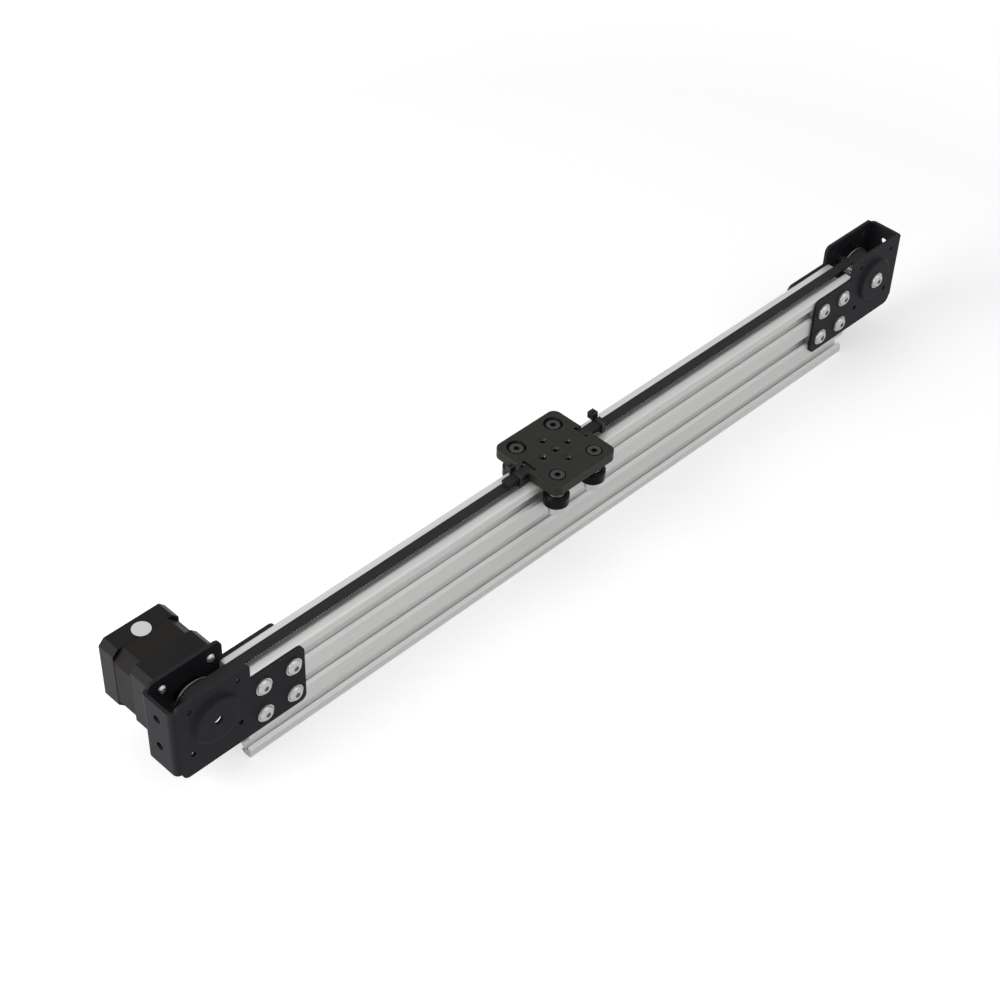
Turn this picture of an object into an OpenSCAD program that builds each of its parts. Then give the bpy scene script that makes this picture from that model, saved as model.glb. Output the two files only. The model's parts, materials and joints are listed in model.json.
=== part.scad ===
// Belt driven linear axis: a slotted aluminium rail with a pressed steel bracket at each end,
// a stepper motor and toothed pulley on one, an idler on the other, and a carriage on four
// V wheels. X runs along the rail, Y across it, Z up. The origin is the middle of the rail's
// bottom slot. The belt's lower strand returns through the hollow between the upper two cells.

/* [Rail] */
// Length of the aluminium rail
rail_len = 500; // [300:10:1000]
// Side of one cell of the rail's section
cell = 20; // [20:0.5:22]
// Number of cells stacked in the rail's height
rail_cells = 3; // [2:1:4]
// Width of a slot's mouth at the rail's outer face
slot_mouth = 9.16; // [8.8:0.02:9.6]
// Width between the lips of a slot
slot_neck = 5.68; // [5.4:0.02:6]
// Thickness of a slot's lips
lip_t = 1.8; // [1.75:0.05:2.2]
// Width of the space behind the lips
slot_cavity = 11; // [10:0.1:11.6]
// Straight part of the cavity's side walls
cavity_side = 1.6; // [1.2:0.1:2]
// Depth of a slot from the outer face to its floor
slot_depth = 6.1; // [5.8:0.05:6.4]
// Diameter of the bore in the middle of each cell
core_bore = 4.2; // [3.8:0.1:4.6]
// Wall between a slot's cavity and the hollow beside it
web_t = 1.5; // [1.2:0.1:1.8]
// Radius of the rail's four long edges
rail_edge_r = 1.2; // [0.4:0.1:2]

/* [Brackets] */
// Thickness of the brackets' sheet
sheet_t = 2; // [1.5:0.1:2.5]
// Inside radius of the sheet's bends
bend_r = 1.5; // [1:0.1:2.5]
// Length of the arms along the rail
arm_len = 38; // [36:0.5:60]
// Length of the tall plates over the rail
plate_lap = 2.3; // [1:0.1:6]
// Distance from the rail's end to the end wall's outer face
box_len = 48; // [44:0.5:60]
// Height of the tall plates above the rail
plate_rise = 13; // [11:0.5:20]
// Height of the end wall's lower edge above the plates' lower edge
wall_foot = 5; // [3:0.5:8]
// Drop of the end wall's upper edge below the plates' upper edge
wall_drop = 2.5; // [1:0.5:6]
// Radius of the tall plates' upper corners over the rail
plate_corner_r = 4; // [2:0.5:5]
// Radius of the tall plates' upper corners at the end wall
wall_corner_r = 3; // [1:0.5:5]
// Radius of the tall plates' lower corners
foot_corner_r = 5; // [2:0.5:6]
// Radius of the arms' corners
arm_corner_r = 4; // [2:0.5:6]
// Diameter of the pressed boss at its foot
boss_d = 32; // [29:0.2:36]
// Diameter of the pressed boss at its flat top
boss_top_d = 26; // [24:0.2:28.4]
// Height of the pressed boss
boss_h = 2.5; // [1.5:0.1:3]
// Diameter of the two holes in the end wall
wall_hole_d = 5.2; // [4:0.1:6]
// Diameter of the hole in the middle of a boss
axle_hole_d = 5.3; // [5.2:0.1:6]

/* [Bracket screws] */
// Thread diameter of the button head screws
screw_d = 5; // [4:0.1:5.4]
// Diameter of the screw head's flange
screw_flange_d = 10.6; // [9.6:0.1:11.8]
// Thickness of the screw head's flange
screw_flange_t = 0.9; // [0.6:0.1:1.2]
// Diameter of the head's dome
screw_dome_d = 9.2; // [7.6:0.1:9.4]
// Height of the head's dome above the flange
screw_dome_h = 1.9; // [1.5:0.1:2.4]
// Width of the hexagon socket across its flats
screw_hex = 3; // [2.5:0.1:4]
// Length of the screws under the head
screw_len = 7.6; // [6.5:0.1:8]
// Clearance on the diameter of the screw holes
screw_clear = 0.5; // [0.3:0.1:1]
// Length of the slot nuts
nut_len = 32; // [26:0.5:34]

/* [Motor] */
// Width of the motor's square body
motor_w = 42.3; // [42:0.1:44]
// Spacing of the motor's mounting holes
motor_pitch = 31; // [30:0.1:32]
// Length of the front cap
front_cap_len = 15.5; // [12:0.5:20]
// Length of the stator stack
stator_len = 14.5; // [10:0.5:30]
// Length of the rear cap
rear_cap_len = 11.5; // [9:0.5:14]
// Corner chamfer of the caps
cap_chamfer = 3.6; // [2:0.1:4.5]
// Corner chamfer of the stator stack
stator_chamfer = 6.6; // [5:0.1:7]
// Diameter of the centring pilot
pilot_d = 22; // [20:0.5:24]
// Diameter of the motor shaft
shaft_d = 5; // [4:0.1:6]
// Length of the shaft in front of the mounting face
shaft_len = 21; // [20:0.5:22]
// Diameter of the rotor
rotor_d = 25; // [22:0.5:26]
// Gap between rotor and stator
rotor_gap = 0.3; // [0.2:0.05:0.6]
// Length of the motor's connector along its motor's side
connector_w = 16; // [12:0.5:20]
// Width of the motor's connector
connector_d = 5; // [4:0.1:6]
// Wall of the motor's connector
connector_wall = 1; // [0.6:0.1:1.2]
// Height of the connector below the motor
connector_out = 1.5; // [0.5:0.1:3]
// Length of the mounting screws inside the motor's front cap
screw_grip = 8; // [4:0.5:10]
// Diameter of the case and mounting screws
small_screw_d = 3; // [2.5:0.1:3.2]

/* [Belt drive] */
// Number of teeth on both pulleys
pulley_teeth = 40; // [36:1:42]
// Distance from the rail's end to the pulley axis
axis_out = 21; // [20.5:0.5:22]
// Pitch of the belt's teeth
belt_pitch = 2; // [1.8:0.05:2.1]
// Width of the belt
belt_w = 6; // [5:0.1:6.4]
// Thickness of the belt without its teeth
belt_back = 0.63; // [0.5:0.01:0.8]
// Height of the belt's teeth
tooth_h = 0.75; // [0.6:0.01:0.9]
// Depth of the belt's pitch line below the foot of its teeth
pitch_line = 0.254; // [0.2:0.002:0.3]
// Play between the belt and what turns or slides along it
belt_play = 0.25; // [0.15:0.05:0.35]
// Thickness of a pulley flange
flange_t = 1; // [0.8:0.1:1.2]
// Height of a flange above the pulley's teeth
flange_rise = 1.5; // [1:0.1:1.8]
// Diameter of the drive pulley's hub
hub_d = 16; // [14:0.5:18]
// Length of the drive pulley's hub
hub_len = 4.8; // [4:0.1:5]
// Outer diameter of the idler's bearings
idler_bearing_d = 16; // [14:0.5:18]
// Diameter of the idler's axle screw
axle_d = 5; // [4:0.1:5.2]

/* [Carriage] */
// Position of the carriage along the rail
carriage_x = -13; // [-40:1:40]
// Side of the square carriage plate
carriage_w = 50; // [48:0.5:60]
// Thickness of the carriage plate
carriage_t = 6; // [5:0.1:8]
// Gap between the rail's top and the carriage plate
carriage_gap = 1; // [0.5:0.1:1.5]
// Corner radius of the carriage plate
carriage_corner_r = 5; // [2:0.5:7]
// Spacing of the wheels along the rail
wheel_pitch = 30; // [30:0.5:34]
// Outer diameter of the V wheels
wheel_d = 15.23; // [15:0.01:16]
// Width of the V wheels
wheel_w = 8.8; // [8.4:0.1:9.4]
// Width of the flat rim of a V wheel
wheel_rim = 5.78; // [5.4:0.02:6]
// Play between a wheel and its slot, across the rail
wheel_play = 0.12; // [0.05:0.01:0.2]
// Outer diameter of the wheel bearings
bearing_d = 10; // [9:0.1:11]
// Width of a wheel bearing
bearing_w = 4; // [3.6:0.1:4.1]
// Diameter of the wheel bolts
bolt_d = 5; // [4:0.1:5.2]
// Diameter of the wheel bolts' heads
bolt_head_d = 8.2; // [7.8:0.1:9.4]
// Height of the wheel bolts' heads
bolt_head_h = 2.8; // [2:0.1:2.9]
// Width of the wheel bolts' sockets across their flats
bolt_hex = 3.4; // [3:0.1:4]
// Counterbore diameter over the fixed wheels
counterbore_d = 10; // [9.8:0.1:10.6]
// Counterbore diameter over the adjustable wheels
wide_counterbore_d = 11.8; // [11:0.1:12.4]
// Depth that the adjustable wheels' heads lie below the plate's top
deep_head = 0.9; // [0.3:0.1:1]
// Distance from the centre to each of the four outer tapped holes
tap_reach = 10; // [8:0.5:11]
// Diameter of the tapped holes
tap_d = 4.2; // [3.8:0.1:4.6]
// Diameter of the chamfer at the mouth of a tapped hole
tap_mouth_d = 5.4; // [4.8:0.1:6]
// Diameter of the round spacers over the wheels
spacer_d = 10; // [8:0.1:10.5]
// Distance from the carriage's middle to the notch for a belt clamp
notch_x = 20; // [19:0.25:20.5]
// Width along the rail of the notch's cross slot
notch_w = 2.5; // [2:0.1:2.8]
// Length across the rail of the notch's cross slot
notch_len = 10; // [9:0.1:12]
// Length across the rail of the notch's neck
neck_len = 6.6; // [6:0.1:7.4]

/* [Belt fastening] */
// Diameter of the pin inside each belt loop
loop_pin_d = 1; // [0.8:0.1:1.2]
// Distance from the carriage's middle to the end of a folded belt
loop_end_x = 40; // [38:0.5:42]
// Distance from the carriage's middle to the cable tie at the motor's side
left_tie_x = 31.5; // [29:0.5:37]
// Distance from the carriage's middle to the cable tie at the idler's side
right_tie_x = 36; // [29:0.5:37]
// Width of a cable tie's band
tie_w = 2.5; // [2:0.1:3.6]
// Thickness of a cable tie's band
tie_t = 1; // [0.8:0.1:1.05]
// Length of a cable tie's head along the rail
tie_head_len = 4.4; // [4:0.1:5]
// Width of a cable tie's head across the rail
tie_head_w = 4.2; // [3.6:0.1:5]
// Height of a cable tie's head
tie_head_h = 4.2; // [3:0.1:5]

/* [Hidden] */
$fn = 64;
over = 1;
fit = 0.1;
run_fit = 0.05;

// Rail
rail_h = cell * rail_cells;
half_w = cell / 2;
half_len = rail_len / 2;
mouth_depth = (slot_mouth - slot_neck) / 2;
hollow_half = cell / 2 - slot_cavity / 2 - web_t;
floor_w = slot_cavity - 2 * (slot_depth - lip_t - cavity_side);

// Brackets, in a frame whose X starts at the rail's end and points outwards
plate_z0 = rail_h - 2 * cell;
plate_z1 = rail_h + plate_rise;
wall_z0 = plate_z0 + wall_foot;
wall_z1 = plate_z1 - wall_drop;
flat_end = box_len - bend_r - sheet_t;
screw_xs = [-cell / 2, -3 * cell / 2];
screw_zs = [rail_h - cell / 2, rail_h - 3 * cell / 2];
axis_z = rail_h - cell / 2;
boss_floor_y = half_w + boss_h;
boss_run = (boss_d - boss_top_d) / 2;
boss_blend = (pow(boss_run, 2) + pow(boss_h, 2)) / (4 * boss_h);
boss_wall = 1.2;

// Motor, along +Y from the motor bracket's outer face
motor_y = half_w + sheet_t;
pilot_h = sheet_t;
motor_len = front_cap_len + stator_len + rear_cap_len;
cap_wall = 4;
motor_bearing_d = 16;
motor_bearing_w = 5;
rear_bearing_y = front_cap_len + stator_len + 4;
case_bore = rotor_d + 2 * rotor_gap;
cap_bore = motor_w - 6.3;
connector_in = (motor_w - cap_bore) / 2 - 0.3;
connector_y = front_cap_len + stator_len + 1 + fit + connector_d / 2;
small_head_d = small_screw_d * 1.83;
small_head_h = small_screw_d * 0.8;
small_clear = 0.4;

// Belt and pulleys
pitch_r = pulley_teeth * belt_pitch / 2 / PI;
tip_r = pitch_r - pitch_line;
back_r = tip_r + belt_back;
flange_r = tip_r + flange_rise;
face_half = belt_w / 2 + 0.5;
rim_half = face_half + flange_t;
axle_x = half_len + axis_out;
tooth_clear = sqrt(pow(tip_r + belt_play, 2) - pow(tip_r - tooth_h, 2)) + 0.5;
strand_teeth = floor((2 * axle_x - 2 * tooth_clear) / belt_pitch / 2);
hub_y1 = rim_half + hub_len;
idler_wall = 1;

// Carriage
plate_bottom = rail_h + carriage_gap;
plate_top = plate_bottom + carriage_t;
belt_low = axis_z + tip_r - tooth_h;
belt_high = axis_z + back_r;
channel_half = belt_w / 2 + 4 * belt_play;
channel_top = belt_high + 2 * belt_play + 0.4;
wheel_r = wheel_d / 2;
wheel_y = half_w + wheel_r - (slot_mouth - wheel_rim) / 2 + wheel_play;
flank = (wheel_w - wheel_rim) / 2;
wheel_z0 = axis_z - wheel_w / 2;
wheel_z1 = axis_z + wheel_w / 2;
tap_chamfer = (tap_mouth_d - tap_d) / 2;
shim_t = 1;
shim_d = 8;
bolt_end = wheel_z0 - shim_t - 6;
head_seat = plate_top - bolt_head_h;
deep_seat = head_seat - deep_head;
eccentric_d = 7;
lock_nut_flats = 8;
lock_nut_h = 5;

// Belt fastening
loop_t = 2 * belt_back + tooth_h;
loop_low = belt_high + 3.5 * belt_play;
loop_high = loop_low + loop_t;
loop_x0 = notch_x + notch_w / 2;
slit = 0.04;
tie_side = belt_w / 2 + 0.3;
tie_low = belt_low - 0.3;
tie_head_y = belt_w / 2 - 0.3;

// ---- helpers -------------------------------------------------------------------------

// What lies outside the arc that rounds a corner at [x, y]; sx and sy point out of the corner
module corner_cut(x, y, sx, sy, r) {
    translate([x - sx * r, y - sy * r])
        rotate(atan2(sy, sx) - 45)
            difference() {
                square(r + over);
                circle(r);
            }
}

// A cylinder along Y from y0 to y1
module rod_y(d, y0, y1) {
    translate([0, y1, 0]) rotate([90, 0, 0]) cylinder(d = d, h = y1 - y0);
}

// A tube along Y from y0 to y1
module tube_y(d, bore, y0, y1) {
    difference() {
        rod_y(d, y0, y1);
        rod_y(bore, y0 - over, y1 + over);
    }
}

// A flat shape drawn in X and Z, thickened along Y from y0 to y1
module slab_y(y0, y1) {
    translate([0, y1, 0]) rotate([90, 0, 0]) linear_extrude(y1 - y0) children();
}

// A hexagon prism along Z, measured across its flats
module hexagon(flats, h) {
    cylinder(d = flats / cos(30), h = h, $fn = 6);
}

// The two ends of the rail, each in its own frame with X pointing outwards
module at_motor_end() {
    translate([-half_len, 0, 0]) mirror([1, 0, 0]) children();
}

module at_idler_end() {
    translate([half_len, 0, 0]) children();
}

// The four corners of a square pattern in X and Z
module square_pattern(pitch) {
    for (sx = [-1, 1], sz = [-1, 1])
        translate([sx * pitch / 2, 0, sz * pitch / 2]) children();
}

// ---- rail ----------------------------------------------------------------------------

// One slot seen along the rail, mouth at the origin and floor towards -Y
module slot_shape() {
    polygon([
        [slot_mouth / 2 + over, over], [slot_mouth / 2, 0], [slot_neck / 2, -mouth_depth],
        [slot_neck / 2, -lip_t], [slot_cavity / 2, -lip_t],
        [slot_cavity / 2, -lip_t - cavity_side], [floor_w / 2, -slot_depth],
        [-floor_w / 2, -slot_depth], [-slot_cavity / 2, -lip_t - cavity_side],
        [-slot_cavity / 2, -lip_t], [-slot_neck / 2, -lip_t],
        [-slot_neck / 2, -mouth_depth], [-slot_mouth / 2, 0], [-slot_mouth / 2 - over, over]
    ]);
}

// The closed space between two cells
module hollow_shape() {
    y_out = half_w - lip_t;
    y_mid = y_out - cavity_side;
    y_in = half_w - slot_depth;
    rise = y_mid - y_in;
    polygon([
        [y_out, hollow_half], [y_mid, hollow_half], [y_in, hollow_half + rise],
        [-y_in, hollow_half + rise], [-y_mid, hollow_half], [-y_out, hollow_half],
        [-y_out, -hollow_half], [-y_mid, -hollow_half], [-y_in, -hollow_half - rise],
        [y_in, -hollow_half - rise], [y_mid, -hollow_half], [y_out, -hollow_half]
    ]);
}

module rail_section() {
    difference() {
        translate([-half_w, 0]) square([cell, rail_h]);
        for (sy = [-1, 1]) {
            corner_cut(sy * half_w, rail_h, sy, 1, rail_edge_r);
            corner_cut(sy * half_w, 0, sy, -1, rail_edge_r);
        }
        translate([0, rail_h]) slot_shape();
        rotate(180) slot_shape();
        for (i = [0 : rail_cells - 1]) {
            translate([half_w, (i + 0.5) * cell]) rotate(-90) slot_shape();
            translate([-half_w, (i + 0.5) * cell]) rotate(90) slot_shape();
            translate([0, (i + 0.5) * cell]) circle(d = core_bore);
        }
        for (i = [1 : rail_cells - 1])
            translate([0, i * cell]) hollow_shape();
    }
}

module rail() {
    color("silver")
        translate([-half_len, 0, 0])
            rotate([90, 0, 90])
                linear_extrude(rail_len) rail_section();
}

// ---- brackets ------------------------------------------------------------------------

// Outline of one side plate with its arm, in X and Z
module side_outline() {
    difference() {
        union() {
            translate([-arm_len, plate_z0]) square([arm_len + flat_end, 2 * cell]);
            translate([-plate_lap, plate_z0])
                square([plate_lap + flat_end, plate_z1 - plate_z0]);
        }
        corner_cut(-arm_len, plate_z0, -1, -1, arm_corner_r);
        corner_cut(-arm_len, rail_h, -1, 1, arm_corner_r);
        corner_cut(-plate_lap, plate_z1, -1, 1, plate_corner_r);
        corner_cut(flat_end, plate_z1, 1, 1, wall_corner_r);
        corner_cut(flat_end, plate_z0, 1, -1, foot_corner_r);
    }
}

// End wall with its two bends, seen from above
module wall_section() {
    r_out = bend_r + sheet_t;
    w_out = half_w + sheet_t;
    difference() {
        translate([flat_end, -w_out]) square([r_out, 2 * w_out]);
        for (sy = [-1, 1]) corner_cut(box_len, sy * w_out, 1, sy, r_out);
        difference() {
            translate([flat_end - over, -half_w]) square([bend_r + over, cell]);
            for (sy = [-1, 1])
                corner_cut(box_len - sheet_t, sy * half_w, 1, sy, bend_r);
        }
    }
}

// Pressed boss on the plate at -Y, standing outwards
module boss_profile(foot_r, top_r, foot) {
    difference() {
        union() {
            polygon([[0, -foot], [foot_r, -foot], [foot_r, 0], [top_r, boss_h], [0, boss_h]]);
            translate([top_r, boss_h - boss_blend]) circle(boss_blend);
        }
        translate([foot_r, boss_blend]) circle(boss_blend);
    }
}

module boss_skin() {
    rotate([90, 0, 0]) translate([0, 0, half_w + sheet_t])
        rotate_extrude() intersection() {
            boss_profile(boss_d / 2, boss_top_d / 2, sheet_t);
            translate([0, -sheet_t]) square([boss_d, sheet_t + boss_h]);
        }
}

module boss_hollow() {
    rotate([90, 0, 0]) translate([0, 0, half_w])
        rotate_extrude() intersection() {
            boss_profile(boss_d / 2 - boss_wall, boss_top_d / 2 - boss_wall, over);
            translate([0, -over]) square([boss_d, over + boss_h]);
        }
}

// A bracket, with a pressed boss on each side named in sides (-1 for -Y, 1 for +Y)
module bracket(sides) {
    difference() {
        union() {
            for (sy = [-1, 1])
                slab_y(sy > 0 ? half_w : -half_w - sheet_t, sy > 0 ? half_w + sheet_t : -half_w)
                    side_outline();
            translate([0, 0, wall_z0]) linear_extrude(wall_z1 - wall_z0) wall_section();
            for (sy = sides)
                translate([axis_out, 0, axis_z]) rotate(sy < 0 ? 0 : 180) boss_skin();
        }
        for (sy = sides)
            translate([axis_out, 0, axis_z]) rotate(sy < 0 ? 0 : 180) boss_hollow();
        translate([axis_out, 0, axis_z]) {
            rod_y(axle_hole_d, -boss_floor_y - sheet_t - over, 0);
            square_pattern(motor_pitch)
                rod_y(small_screw_d + small_clear, -motor_y - over, motor_y + over);
        }
        for (x = screw_xs, z = screw_zs)
            translate([x, 0, z])
                rod_y(screw_d + screw_clear, -motor_y - over, motor_y + over);
        for (sz = [-1, 1])
            translate([box_len - sheet_t - over, 0, axis_z + sz * cell / 2])
                rotate([0, 90, 0]) cylinder(d = wall_hole_d, h = sheet_t + 2 * over);
        children();
    }
}

module motor_bracket() {
    color([0.09, 0.09, 0.1])
        at_motor_end()
            bracket([-1])
                translate([axis_out, 0, axis_z])
                    rod_y(pilot_d + 2 * fit, 0, motor_y + over);
}

module idler_bracket() {
    color([0.09, 0.09, 0.1])
        at_idler_end()
            bracket([-1, 1])
                translate([axis_out, 0, axis_z])
                    rod_y(axle_hole_d, 0, boss_floor_y + sheet_t + over);
}

// Flanged button head screw along +Z, seat of the head at the origin
module button_screw(d, len) {
    difference() {
        union() {
            translate([0, 0, -len]) cylinder(d = d, h = len);
            cylinder(d = screw_flange_d, h = screw_flange_t);
            rotate_extrude() dome_half();
        }
        translate([0, 0, screw_flange_t + screw_dome_h - 1.6]) hexagon(screw_hex, 1.6 + over);
    }
}

// Half section of the dome: an arc from the flange's edge up to a flat top
module dome_half() {
    flat_r = screw_hex / 2 + 0.9;
    edge_r = screw_dome_d / 2;
    ball_r = (pow(edge_r - flat_r, 2) + pow(screw_dome_h, 2)) / 2 / screw_dome_h;
    translate([0, screw_flange_t]) {
        square([flat_r, screw_dome_h]);
        intersection() {
            square([edge_r, screw_dome_h]);
            translate([flat_r, screw_dome_h - ball_r]) circle(ball_r);
        }
    }
}

module bracket_screw_set() {
    for (x = screw_xs, z = screw_zs, sy = [-1, 1])
        translate([x, sy * (half_w + sheet_t), z]) rotate([-sy * 90, 0, 0])
            button_screw(screw_d, screw_len);
}

module motor_bracket_screws() {
    color("gainsboro") at_motor_end() bracket_screw_set();
}

module idler_bracket_screws() {
    color("gainsboro") at_idler_end() bracket_screw_set();
}

// Section of a slot nut: a bar in the cavity with a rib between the lips
module nut_section() {
    bar_w = slot_cavity - 0.6;
    rib_w = slot_neck - 0.4;
    bar_t = 2.6;
    side = cavity_side - 0.3;
    polygon([
        [rib_w / 2, -0.6], [rib_w / 2, -lip_t], [bar_w / 2, -lip_t], [bar_w / 2, -lip_t - side],
        [bar_w / 2 - bar_t + side, -lip_t - bar_t], [-bar_w / 2 + bar_t - side, -lip_t - bar_t],
        [-bar_w / 2, -lip_t - side], [-bar_w / 2, -lip_t], [-rib_w / 2, -lip_t],
        [-rib_w / 2, -0.6]
    ]);
}

// Slot nuts behind both arms of a bracket, one to each row of screws
module slot_nut_set() {
    for (z = screw_zs, sy = [-1, 1])
        difference() {
            translate([-cell - nut_len / 2, sy * half_w, z])
                rotate([90, 0, 90])
                    linear_extrude(nut_len) rotate(sy > 0 ? -90 : 90) nut_section();
            for (x = screw_xs) translate([x, 0, z]) rod_y(screw_d, -half_w, half_w);
        }
}

module motor_end_nuts() {
    color("darkgray") at_motor_end() slot_nut_set();
}

module idler_end_nuts() {
    color("darkgray") at_idler_end() slot_nut_set();
}

// ---- motor ---------------------------------------------------------------------------

// The motor's own frame: its axis through the origin, mounting face at y = 0
module at_motor() {
    translate([-axle_x, motor_y, axis_z]) children();
}

// A square of side w with its corners cut off
module chamfered_square(w, c) {
    a = w / 2;
    b = a - c;
    polygon([[a, b], [b, a], [-b, a], [-a, b], [-a, -b], [-b, -a], [b, -a], [a, -b]]);
}

module motor_front_cap() {
    color([0.1, 0.1, 0.1]) at_motor() difference() {
        union() {
            slab_y(0, front_cap_len) chamfered_square(motor_w, cap_chamfer);
            rod_y(pilot_d, -pilot_h, 0);
        }
        rod_y(cap_bore, cap_wall + motor_bearing_w, front_cap_len + over);
        rod_y(motor_bearing_d, 1.5, cap_wall + motor_bearing_w + over);
        rod_y(shaft_d + 4, -pilot_h - over, 2);
        square_pattern(motor_pitch) rod_y(small_screw_d, -over, front_cap_len + over);
    }
}

// Stator stack: a ring with eight poles that reach in to the rotor
module stator_shape() {
    difference() {
        chamfered_square(motor_w - 0.4, stator_chamfer);
        circle(d = case_bore);
        for (a = [0 : 45 : 315])
            rotate(a + 22.5) translate([case_bore / 2 + 2.8, 0]) circle(2.4);
        for (sx = [-1, 1], sz = [-1, 1])
            translate([sx * motor_pitch / 2, sz * motor_pitch / 2])
                circle(d = small_screw_d + small_clear);
    }
}

module motor_stator() {
    color([0.35, 0.33, 0.32])
        at_motor() slab_y(front_cap_len, front_cap_len + stator_len) stator_shape();
}

// A ring of winding over each end of the stack, in the hollow of each cap
module motor_windings() {
    inner = case_bore + 1;
    outer = cap_bore - 1;
    color("peru") at_motor() {
        tube_y(outer, inner, front_cap_len - 4, front_cap_len);
        tube_y(outer, inner, front_cap_len + stator_len, front_cap_len + stator_len + 4);
    }
}

module motor_rear_cap() {
    y0 = front_cap_len + stator_len;
    color([0.1, 0.1, 0.1]) at_motor() difference() {
        slab_y(y0, motor_len) chamfered_square(motor_w, cap_chamfer);
        rod_y(cap_bore, y0 - over, y0 + 5);
        rod_y(motor_bearing_d, y0, rear_bearing_y + motor_bearing_w);
        square_pattern(motor_pitch) {
            rod_y(small_screw_d + small_clear, y0 - over, motor_len + over);
            rod_y(small_head_d + 0.6, motor_len - small_head_h, motor_len + over);
        }
        translate([0, connector_y, -motor_w / 2 - over])
            linear_extrude(connector_in + 2 * over)
                square([connector_w + 2 * fit, connector_d + 2 * fit], center = true);
    }
}

module motor_rotor() {
    color("dimgray") at_motor()
        tube_y(rotor_d, shaft_d, front_cap_len + 0.5, front_cap_len + stator_len - 0.5);
}

module motor_shaft() {
    flat = shaft_d * 0.1;
    color("lightgray") at_motor() difference() {
        rod_y(shaft_d, -shaft_len, rear_bearing_y + motor_bearing_w - 3 * fit);
        translate([-shaft_d, -shaft_len - over, shaft_d / 2 - flat])
            cube([2 * shaft_d, shaft_len - 6 + over, shaft_d]);
    }
}

// One bearing in each cap
module motor_bearings() {
    color("silver") at_motor() {
        tube_y(motor_bearing_d, shaft_d + 2 * run_fit, cap_wall, cap_wall + motor_bearing_w);
        tube_y(motor_bearing_d, shaft_d + 2 * run_fit,
            rear_bearing_y, rear_bearing_y + motor_bearing_w);
    }
}

// Socket head screw along +Y, its head's seat at the origin and its thread towards -Y
module cap_screw_y(d, head_d, head_h, len) {
    difference() {
        union() {
            rod_y(d, -len, 0);
            rod_y(head_d, 0, head_h);
        }
        translate([0, head_h + over, 0]) rotate([90, 0, 0]) hexagon(d * 0.83, head_h * 0.6 + over);
    }
}

module motor_case_screws() {
    seat = motor_len - small_head_h;
    color("silver") at_motor()
        square_pattern(motor_pitch)
            translate([0, seat, 0])
                cap_screw_y(small_screw_d, small_head_d, small_head_h,
                    seat - front_cap_len + 3);
}

// Screws from inside the bracket into the motor's front cap
module motor_mounting_screws() {
    color("silver") at_motor()
        square_pattern(motor_pitch)
            translate([0, -sheet_t, 0])
                mirror([0, 1, 0])
                    cap_screw_y(small_screw_d, small_head_d, small_head_h,
                        sheet_t + screw_grip);
}

// Socket in the underside of the rear cap
module motor_connector() {
    color("ivory") at_motor()
        translate([0, connector_y, -motor_w / 2 - connector_out])
            difference() {
                linear_extrude(connector_out + connector_in)
                    square([connector_w, connector_d], center = true);
                translate([0, 0, -over])
                    linear_extrude(connector_out + connector_in - connector_wall + over)
                        square([connector_w - 2 * connector_wall,
                            connector_d - 2 * connector_wall], center = true);
            }
}

// ---- belt drive ----------------------------------------------------------------------

// Toothed rim of a pulley: a groove for each tooth of the belt
module toothed_shape(bore) {
    groove_r = 0.28 * belt_pitch;
    difference() {
        circle(tip_r);
        circle(d = bore);
        for (i = [0 : pulley_teeth - 1])
            rotate(i * 360 / pulley_teeth) {
                translate([tip_r - tooth_h + groove_r, 0]) circle(groove_r, $fn = 24);
                translate([tip_r - tooth_h + groove_r, -groove_r])
                    square([tooth_h, 2 * groove_r]);
            }
    }
}

// Flange whose rim slopes away from the belt
module flange(bore) {
    rotate_extrude()
        polygon([
            [bore / 2, 0], [tip_r, 0], [flange_r, flange_t * 0.35], [flange_r, flange_t],
            [bore / 2, flange_t]
        ]);
}

module pulley_rim(bore) {
    slab_y(-face_half, face_half) toothed_shape(bore);
    translate([0, face_half, 0]) rotate([-90, 0, 0]) flange(bore);
    translate([0, -face_half, 0]) rotate([90, 0, 0]) flange(bore);
}

module drive_pulley() {
    color([0.75, 0.75, 0.77])
        translate([-axle_x, 0, axis_z]) difference() {
            union() {
                pulley_rim(shaft_d);
                tube_y(hub_d, shaft_d, rim_half, hub_y1);
            }
            for (a = [0, 90])
                rotate([0, a, 0]) translate([0, rim_half + hub_len / 2, 0])
                    cylinder(d = small_screw_d, h = hub_d);
        }
}

// Two grub screws that grip the shaft through the hub
module pulley_set_screws() {
    color("dimgray")
        translate([-axle_x, rim_half + hub_len / 2, axis_z])
            for (a = [0, 90])
                rotate([0, a, 0]) translate([0, 0, shaft_d / 2])
                    difference() {
                        cylinder(d = small_screw_d, h = hub_d / 2 - shaft_d / 2 - 0.5);
                        translate([0, 0, 2.5]) hexagon(1.5, hub_d);
                    }
}

// One straight strand as points, its teeth towards -Z; tooth feet lie on z = 0
function tooth_points(x) = [
    [x - 0.34 * belt_pitch, 0], [x - 0.21 * belt_pitch, -tooth_h],
    [x + 0.21 * belt_pitch, -tooth_h], [x + 0.34 * belt_pitch, 0]
];

module strand_shape() {
    polygon(concat(
        [[-axle_x, belt_back], [-axle_x, 0]],
        [for (i = [-strand_teeth : strand_teeth], p = tooth_points(i * belt_pitch)) p],
        [[axle_x, 0], [axle_x, belt_back]]
    ));
}

// The belt's turn round a pulley, on the side that x points to
module wrap_shape(side) {
    difference() {
        circle(back_r);
        circle(tip_r + belt_play);
        translate([side > 0 ? -2 * back_r : 0, -2 * back_r]) square([2 * back_r, 4 * back_r]);
    }
}

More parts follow.
